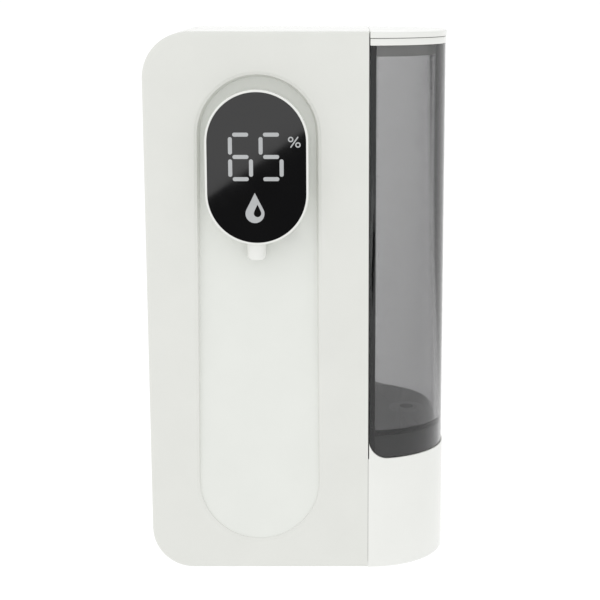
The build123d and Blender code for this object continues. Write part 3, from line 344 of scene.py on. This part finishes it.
# ---- Pieces grown by geometry nodes -----------------------------------------------------------------
def solids_of(node):
    """Lowest and highest corner of each separate solid in a CAD node."""
    work = bmesh.new()
    work.from_mesh(frame["nodes"][node].data)
    bmesh.ops.remove_doubles(work, verts=work.verts, dist=weld_distance)
    unseen = set(work.verts)
    boxes = []
    while unseen:
        group, reached = set(), [unseen.pop()]
        while reached:
            vertex = reached.pop()
            group.add(vertex)
            for edge in vertex.link_edges:
                other = edge.other_vert(vertex)
                if other in unseen:
                    unseen.discard(other)
                    reached.append(other)
        low = Vector([min(v.co[k] for v in group) for k in range(3)])
        high = Vector([max(v.co[k] for v in group) for k in range(3)])
        boxes.append((low, high))
    work.free()
    return sorted(boxes, key=lambda box: tuple(round(c, 5) for c in box[0]))


def new_tree(name, sizes):
    """A geometry tree with a mesh of places as its input and named sizes."""
    tree = bpy.data.node_groups.new(name, "GeometryNodeTree")
    tree.interface.new_socket("Places", in_out="INPUT", socket_type="NodeSocketGeometry")
    for size in sizes:
        tree.interface.new_socket(size, in_out="INPUT", socket_type="NodeSocketFloat")
    tree.interface.new_socket("Finish", in_out="INPUT", socket_type="NodeSocketMaterial")
    tree.interface.new_socket("Geometry", in_out="OUTPUT", socket_type="NodeSocketGeometry")
    return tree, tree.nodes.new("NodeGroupInput").outputs


def finish_tree(tree, given, instances):
    """Ends a tree: real geometry, with its finish."""
    real = add_node(tree, "GeometryNodeRealizeInstances", Geometry=instances)
    done = add_node(tree, "GeometryNodeSetMaterial", Geometry=real.outputs[0], Material=given["Finish"])
    add_node(tree, "NodeGroupOutput", Geometry=done.outputs[0])


def grow(name, tree, places, sizes, slot):
    """The plain mesh that a tree grows on a list of places."""
    mesh = bpy.data.meshes.new(name)
    mesh.from_pydata(places, [], [])
    piece = link(mesh, name)
    grower = piece.modifiers.new("grow", "NODES")
    grower.node_group = tree
    for socket in tree.interface.items_tree:
        if socket.in_out == "INPUT" and socket.name in sizes:
            grower[socket.identifier] = sizes[socket.name]
        if socket.in_out == "INPUT" and socket.name == "Finish":
            grower[socket.identifier] = materials[slot]
    apply_modifiers(piece)
    piece.data.materials.clear()
    piece.data.materials.append(materials[slot])
    return piece


def screw_tree():
    """Cross-recessed screws: a chamfered head, a shank and a thread that winds down it."""
    names = ("Head Radius", "Head Height", "Shank Radius", "Shank Length", "Pitch", "Cross Half Width")
    tree, given = new_tree("cross-recessed screw", names)

    def math_node(operation, first, second):
        made = add_node(tree, "ShaderNodeMath", {"operation": operation})
        for k, value in enumerate((first, second)):
            if isinstance(value, (int, float)):
                made.inputs[k].default_value = value
            else:
                tree.links.new(value, made.inputs[k])
        return made.outputs[0]

    def moved(geometry, height):
        place = add_node(tree, "ShaderNodeCombineXYZ", Z=height)
        shifted = add_node(tree, "GeometryNodeTransform", Geometry=geometry, Translation=place.outputs[0])
        return shifted.outputs[0]

    rim = math_node("MULTIPLY", given["Head Height"], 0.25)
    body = math_node("MULTIPLY", given["Head Height"], 0.75)
    crown = add_node(tree, "GeometryNodeMeshCone", {"Vertices": 40}, Radius_Bottom=given["Head Radius"],
                     Radius_Top=math_node("MULTIPLY", given["Head Radius"], 0.9), Depth=rim)
    disc = add_node(tree, "GeometryNodeMeshCylinder", {"Vertices": 40}, Radius=given["Head Radius"],
                    Depth=body)
    shank = add_node(tree, "GeometryNodeMeshCylinder", {"Vertices": 24}, Radius=given["Shank Radius"],
                     Depth=given["Shank Length"])
    half_body = math_node("MULTIPLY", body, -0.5)
    half_shank = math_node("MULTIPLY", given["Shank Length"], -0.5)
    disc_height = math_node("SUBTRACT", half_body, math_node("MULTIPLY", rim, 0.98))
    shank_height = math_node("SUBTRACT", half_shank, math_node("MULTIPLY", rim, 2.0))
    head = add_node(tree, "GeometryNodeMeshBoolean", {"operation": "UNION"})
    tree.links.new(moved(crown.outputs[0], math_node("MULTIPLY", rim, -1.0)), head.inputs[1])
    tree.links.new(moved(disc.outputs[0], disc_height), head.inputs[1])
    tree.links.new(moved(shank.outputs[0], shank_height), head.inputs[1])
    cut = add_node(tree, "GeometryNodeMeshBoolean", {"operation": "DIFFERENCE"})
    tree.links.new(head.outputs[0], cut.inputs[0])
    arm = math_node("MULTIPLY", given["Head Radius"], 1.1)
    width = math_node("MULTIPLY", given["Cross Half Width"], 2.0)
    for across in (True, False):
        size = add_node(tree, "ShaderNodeCombineXYZ", X=arm if across else width, Y=width if across else arm,
                        Z=given["Head Height"])
        bar = add_node(tree, "GeometryNodeMeshCube", Size=size.outputs[0])
        tree.links.new(bar.outputs[0], cut.inputs[1])
    turns = math_node("DIVIDE", math_node("MULTIPLY", given["Shank Length"], 0.9), given["Pitch"])
    winding = add_node(tree, "GeometryNodeCurveSpiral", {"Resolution": 20}, Rotations=turns,
                       Start_Radius=given["Shank Radius"], End_Radius=given["Shank Radius"],
                       Height=math_node("MULTIPLY", given["Shank Length"], 0.9))
    ridge = add_node(tree, "GeometryNodeCurvePrimitiveCircle", {"Resolution": 3},
                     Radius=math_node("MULTIPLY", given["Pitch"], 0.22))
    thread = add_node(tree, "GeometryNodeCurveToMesh", {"Fill Caps": True}, Curve=winding.outputs[0],
                      Profile_Curve=ridge.outputs[0])
    thread_end = math_node("MULTIPLY", given["Shank Length"], -0.95)
    thread_low = math_node("SUBTRACT", thread_end, given["Head Height"])
    whole = add_node(tree, "GeometryNodeJoinGeometry")
    tree.links.new(cut.outputs[0], whole.inputs[0])
    tree.links.new(moved(thread.outputs[0], thread_low), whole.inputs[0])
    finish_tree(tree, given, add_node(tree, "GeometryNodeInstanceOnPoints", Points=given["Places"],
                                      Instance=whole.outputs[0]).outputs[0])
    return tree


def capsule_tree():
    """Flat bars with half-round ends, used for the light bars and for grip ribs."""
    tree, given = new_tree("bars with round ends", ("Length", "Width", "Thickness"))
    outline = add_node(tree, "GeometryNodeCurvePrimitiveQuadrilateral", Width=given["Length"],
                       Height=given["Width"])
    radius = add_node(tree, "ShaderNodeMath", {"operation": "MULTIPLY", 1: 0.495})
    tree.links.new(given["Width"], radius.inputs[0])
    rounded = add_node(tree, "GeometryNodeFilletCurve", {"mode": "POLY", "Count": 8},
                       Curve=outline.outputs[0], Radius=radius.outputs[0])
    flat = add_node(tree, "GeometryNodeFillCurve", {"mode": "NGONS"}, Curve=rounded.outputs[0])
    raised = add_node(tree, "GeometryNodeExtrudeMesh", {"Individual": False}, Mesh=flat.outputs[0],
                      Offset_Scale=given["Thickness"])
    under = add_node(tree, "GeometryNodeFlipFaces", Mesh=flat.outputs[0])
    closed = add_node(tree, "GeometryNodeJoinGeometry")
    tree.links.new(raised.outputs["Mesh"], closed.inputs[0])
    tree.links.new(under.outputs[0], closed.inputs[0])
    welded = add_node(tree, "GeometryNodeMergeByDistance", {"Distance": 0.001 * MM},
                      Geometry=closed.outputs[0])
    finish_tree(tree, given, add_node(tree, "GeometryNodeInstanceOnPoints", Points=given["Places"],
                                      Instance=welded.outputs[0]).outputs[0])
    return tree


def ring_tree():
    """Raised rings round one middle, each wider than the last by the same step."""
    tree, given = new_tree("finger rings", ("First Radius", "Step", "Count", "Bead Radius"))
    line = add_node(tree, "GeometryNodePoints", Count=given["Count"])
    index = add_node(tree, "GeometryNodeInputIndex")
    grown = add_node(tree, "ShaderNodeMath", {"operation": "MULTIPLY_ADD"})
    for k, source in enumerate((index.outputs[0], given["Step"], given["First Radius"])):
        tree.links.new(source, grown.inputs[k])
    circle = add_node(tree, "GeometryNodeCurvePrimitiveCircle", {"Resolution": 64})
    rings = add_node(tree, "GeometryNodeInstanceOnPoints", Points=line.outputs[0], Instance=circle.outputs[0],
                     Scale=grown.outputs[0])
    real = add_node(tree, "GeometryNodeRealizeInstances", Geometry=rings.outputs[0])
    bead = add_node(tree, "GeometryNodeCurvePrimitiveCircle", {"Resolution": 10}, Radius=given["Bead Radius"])
    tube = add_node(tree, "GeometryNodeCurveToMesh", Curve=real.outputs[0], Profile_Curve=bead.outputs[0])
    finish_tree(tree, given, add_node(tree, "GeometryNodeInstanceOnPoints", Points=given["Places"],
                                      Instance=tube.outputs[0]).outputs[0])
    return tree


def laid_out(piece, boxes_turns):
    """Turns and moves each grown copy, in order, onto its own place."""
    mesh = piece.data
    per_copy = len(mesh.vertices) // len(boxes_turns)
    for k, (place, turn) in enumerate(boxes_turns):
        for vertex in mesh.vertices[k * per_copy:(k + 1) * per_copy]:
            vertex.co = turn @ vertex.co + place
    mesh.update()


def join(pieces, name):
    """One piece out of several."""
    work = bmesh.new()
    for piece in pieces:
        work.from_mesh(piece.data)
    mesh = bpy.data.meshes.new(name)
    work.to_mesh(mesh)
    work.free()
    mesh.materials.append(pieces[0].data.materials[0])
    for piece in pieces:
        bpy.data.objects.remove(piece)
    return link(mesh, name)


def add_screws(node, facing, shank_radius, head_radius, head_height):
    """The screws of a CAD node, with threads and cross recesses; facing is where the heads look."""
    facing = Vector(facing)
    axis = max(range(3), key=lambda k: abs(facing[k]))
    turn = Vector((0, 0, 1)).rotation_difference(facing).to_matrix()
    places, lengths = [], []
    for low, high in solids_of(node):
        top = (low + high) / 2
        top[axis] = high[axis] if facing[axis] > 0 else low[axis]
        places.append((top, turn))
        lengths.append(high[axis] - low[axis])
    sizes = {"Head Radius": head_radius, "Head Height": head_height, "Shank Radius": shank_radius,
             "Shank Length": min(lengths) - head_height, "Pitch": screw_pitch,
             "Cross Half Width": screw_cross}
    piece = grow(node + "_threaded", trees["screw"], [(0, 0, 0)] * len(places), sizes, "steel")
    laid_out(piece, places)
    smooth_by_angle(piece, 35)
    settle(piece, node, "steel")


def add_light_bars():
    """The lit bars of the two digits, set in the lens like frosted plugs."""
    upright_turn = Vector((0, 0, 1)).rotation_difference(Vector((0, -1, 0))).to_matrix()
    quarter = Vector((1, 0, 0)).rotation_difference(Vector((0, 0, 1))).to_matrix()
    groups = {"level": [], "standing": []}
    for low, high in solids_of("display_digits"):
        size = high - low
        middle = (low + high) / 2
        middle.y = high.y
        groups["level" if size.x > size.z else "standing"].append((middle, size))
    made = []
    for kind, bars in groups.items():
        turn = upright_turn if kind == "level" else quarter @ upright_turn
        size = bars[0][1]
        sizes = {"Length": max(size.x, size.z), "Width": min(size.x, size.z), "Thickness": size.y}
        piece = grow("bars_" + kind, trees["capsule"], [(0, 0, 0)] * len(bars), sizes, "light_window")
        laid_out(piece, [(middle, turn) for middle, _ in bars])
        made.append(piece)
    digits = join(made, "digit_light_bars")
    smooth_by_angle(digits, 35)
    settle(digits, "display_digits", "light_window")


def add_grip_ribs():
    """Ribs that a fingernail catches on, at the free end of the socket's cover."""
    sizes = {"Length": (cover_high[1] - cover_low[1]) * rib_share, "Width": rib_width,
             "Thickness": rib_height}
    middle_y = (cover_low[1] + cover_high[1]) / 2
    first_x, under_z = cover_high[0] - rib_margin, cover_low[2] + sunk
    down = Vector((0, 0, 1)).rotation_difference(Vector((0, 0, -1))).to_matrix()
    across = Vector((1, 0, 0)).rotation_difference(Vector((0, 1, 0))).to_matrix()
    places = [(Vector((first_x - k * rib_pitch, middle_y, under_z)), across @ down) for k in range(rib_count)]
    ribs = grow("cover_grip_ribs", trees["capsule"], [(0, 0, 0)] * rib_count, sizes, "white_rubber")
    laid_out(ribs, places)
    smooth_by_angle(ribs, 35)
    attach(ribs, body_of("port_cover"))


def add_finger_rings():
    """Rings on the button's face that a finger finds."""
    radius = (button_high[0] - button_low[0]) / 2
    middle = ((button_low[0] + button_high[0]) / 2, (button_low[1] + button_high[1]) / 2, button_low[2])
    sizes = {"First Radius": radius * first_ring, "Step": radius * ring_step, "Count": ring_count,
             "Bead Radius": finger_ring_radius}
    rings = grow("button_finger_rings", trees["ring"], [middle], sizes, "white_gloss")
    for vertex in rings.data.vertices:
        vertex.co.z = max(vertex.co.z, button_low[2])
    smooth_by_angle(rings, 50)
    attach(rings, body_of("power_button"))


# ---- Studio -----------------------------------------------------------------------------------------
def add_area(name, place, aim, size, power, tone="#FFFFFF"):
    """A soft rectangular lamp that points at a place."""
    data = bpy.data.lights.new(name, "AREA")
    data.shape = "RECTANGLE"
    data.size, data.size_y = size
    data.energy = power
    data.color = colour(tone)[:3]
    lamp = bpy.data.objects.new(name, data)
    lamp.location = place
    lamp.rotation_euler = (Vector(aim) - Vector(place)).to_track_quat("-Z", "Y").to_euler()
    bpy.context.scene.collection.objects.link(lamp)


def stage_surface(name, code, strength, corners):
    """A flat stage piece that gives off its own even light."""
    material, tree, out = new_material(name)
    glow = add_node(tree, "ShaderNodeEmission", {"Color": colour(code), "Strength": strength})
    tree.links.new(glow.outputs[0], out.inputs["Surface"])
    mesh = bpy.data.meshes.new(name)
    mesh.from_pydata(corners, [], [(0, 1, 2, 3)])
    mesh.materials.append(material)
    card = link(mesh, name)
    return card


def add_reflector_cards():
    """A pale card and a black flag far in front: their slanted edge is what the black lens mirrors."""
    camera = bpy.context.scene.camera.location
    card_y = -1.5
    edge_left, edge_right = -0.6, 0.76      # heights of the edge at the lens's two sides, in half widths
    past_ends, depth = 0.09, 0.14           # how far the cards go past the lens's sides and from the edge
    spread = (abs(card_y - lens_middle.y) + abs(camera.y - lens_middle.y)) / abs(camera.y - lens_middle.y)

    def mirrored(right, up):
        """Where the card plane shows at a place on the lens, given from the lens's middle."""
        x, z = lens_middle.x + right, lens_middle.z + up
        return Vector((camera.x + (x - camera.x) * spread, card_y, camera.z + (z - camera.z) * spread))

    half = (lens_high[0] - lens_low[0]) / 2
    low, high = mirrored(-half, edge_left * half), mirrored(half, edge_right * half)
    along = (high - low).normalized()
    out = Vector((-along.z, 0, along.x))
    start, end = low - along * past_ends, high + along * past_ends
    pale = stage_surface("pale card", "#FFFFFF", 1.55, [start, end, end + out * depth, start + out * depth])
    dark = stage_surface("black flag", "#FFFFFF", 0.1, [start, start - out * depth, end - out * depth, end])
    for card in (pale, dark):
        card.visible_camera = False
        card.visible_diffuse = False
        card.visible_transmission = False
        card.visible_shadow = False


def add_studio():
    """Pale floor, an even pale room and soft lamps."""
    scene = bpy.context.scene
    scene.view_settings.view_transform = "Standard"
    world = bpy.data.worlds.new("room")
    world.use_nodes = True
    world.node_tree.nodes["Background"].inputs["Color"].default_value = colour("#FFFFFF")
    world.node_tree.nodes["Background"].inputs["Strength"].default_value = 1.0
    scene.world = world
    floor_size, floor_drop = 1000, 0.6
    bpy.ops.mesh.primitive_plane_add(size=floor_size, location=(0, 0, shell_low[2] - floor_drop))
    floor = bpy.context.object
    floor.name = "floor"
    material, tree, out = new_material("pale floor")
    skin = add_node(tree, "ShaderNodeBsdfPrincipled", {"Base Color": colour("#FCFCFC"), "Roughness": 0.9,
                                                       "Emission Color": colour("#FFFFFF"),
                                                       "Emission Strength": 0.08})
    tree.links.new(skin.outputs["BSDF"], out.inputs["Surface"])
    floor.data.materials.append(material)
    centre = (0, -0.03, 0)
    add_area("key", (-0.5, -1.0, 1.5), centre, (1.0, 1.0), 2.2)
    add_area("fill", (-1.4, -0.9, 0.3), centre, (1.0, 1.2), 0.8)
    add_area("rim", (0.4, 1.2, 1.4), centre, (1.2, 1.2), 2.5)
    add_reflector_cards()


# ---- Making -----------------------------------------------------------------------------------------
add_camera()
materials = make_materials()
paint_cad_nodes()
mould_roundings = (("main_shell", "white_gloss", 0.25), ("rear_cover", "white_gloss", 0.3),
                   ("tank", "smoke_clear", 0.25), ("tank_collar", "white_gloss", 0.2),
                   ("tank_lid", "white_gloss", 0), ("pod_shell", "white_gloss", 0.15),
                   ("nozzle", "white_gloss", 0.2), ("wall_bracket", "bracket_steel", 0.3),
                   ("port_cover", "white_rubber", 0.12), ("power_button", "white_gloss", 0.1),
                   ("sensor_window", "ir_window", 0.15))
for node, slot, round_mm in mould_roundings:
    dress_from_cad(node, slot, round_mm)
paint_scoop(dress_from_cad("front_panel", "panel_white", 0.3))
dress_lens()

trees = {"screw": screw_tree(), "capsule": capsule_tree(), "ring": ring_tree()}
add_screws("case_screws", (0, 1, 0), 1.35 * MM, 2.8 * MM, 1.6 * MM)
add_screws("panel_screws", (0, 1, 0), 1.0 * MM, 2.4 * MM, 1.4 * MM)
add_screws("board_screws", (0, -1, 0), 0.8 * MM, 1.9 * MM, 1.2 * MM)
add_light_bars()
add_grip_ribs()
add_finger_rings()
add_studio()
